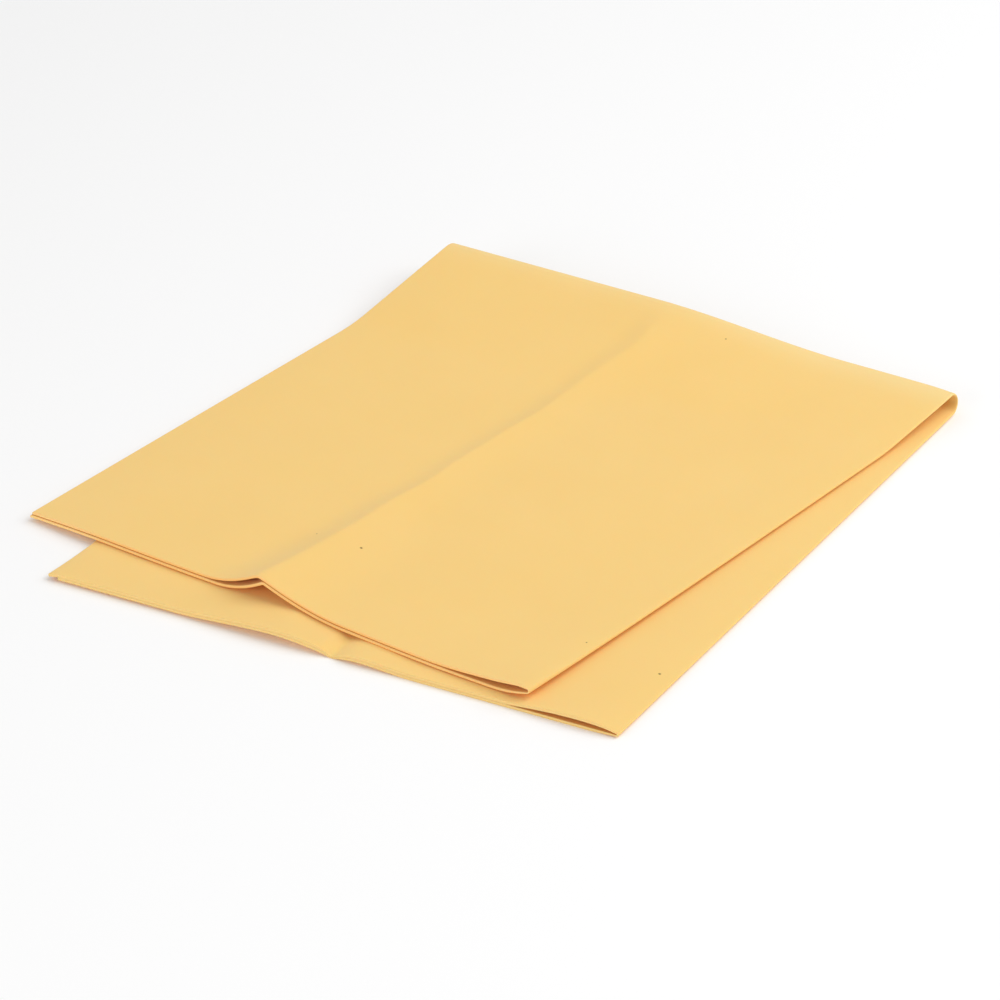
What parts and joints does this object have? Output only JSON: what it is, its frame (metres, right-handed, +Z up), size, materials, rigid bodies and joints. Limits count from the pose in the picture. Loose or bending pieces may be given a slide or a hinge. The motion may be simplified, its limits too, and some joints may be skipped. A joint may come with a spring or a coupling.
{
  "type": "synthetic chamois cloth",
  "caption": "Buff non-woven synthetic chamois cloth, doubled at the side and again at the back, lying flat with an opened crease; its upper half opens about the back fold.",
  "frame": {"origin": "middle of the folded cloth's box, on the surface that it lies on", "axes": "+Z up, +Y from the open front edges to the back fold, +X from the raw edges to the side fold"},
  "size_m": [0.2524, 0.2838, 0.0153],
  "materials": {
    "cloth": "matt, finely napped non-woven cloth with raw cut edges"
  },
  "bodies": {
    "lower_half": {"bottom_leaf_left": "cloth", "bottom_leaf_right": "cloth", "lower_inner_leaf_left": "cloth", "lower_inner_leaf_right": "cloth", "back_fold_outer_left": "cloth", "back_fold_outer_right": "cloth", "back_fold_inner_left": "cloth", "back_fold_inner_right": "cloth", "lower_side_fold": "cloth", "back_fold_corner": "cloth"},
    "upper_half": {"upper_inner_leaf_left": "cloth", "upper_inner_leaf_right": "cloth", "top_leaf_left": "cloth", "top_leaf_right": "cloth", "upper_side_fold": "cloth"}
  },
  "joints": [
    {"name": "back_fold", "type": "hinge", "parent": "lower_half", "child": "upper_half", "pos_m": [0.01669, 0.13353, 0.0027], "axis": [-0.9979, 0.0652, 0], "range_deg": [0, 179.5], "deforming": ["back_fold_outer_left", "back_fold_outer_right", "back_fold_inner_left", "back_fold_inner_right", "back_fold_corner"]}
  ]
}
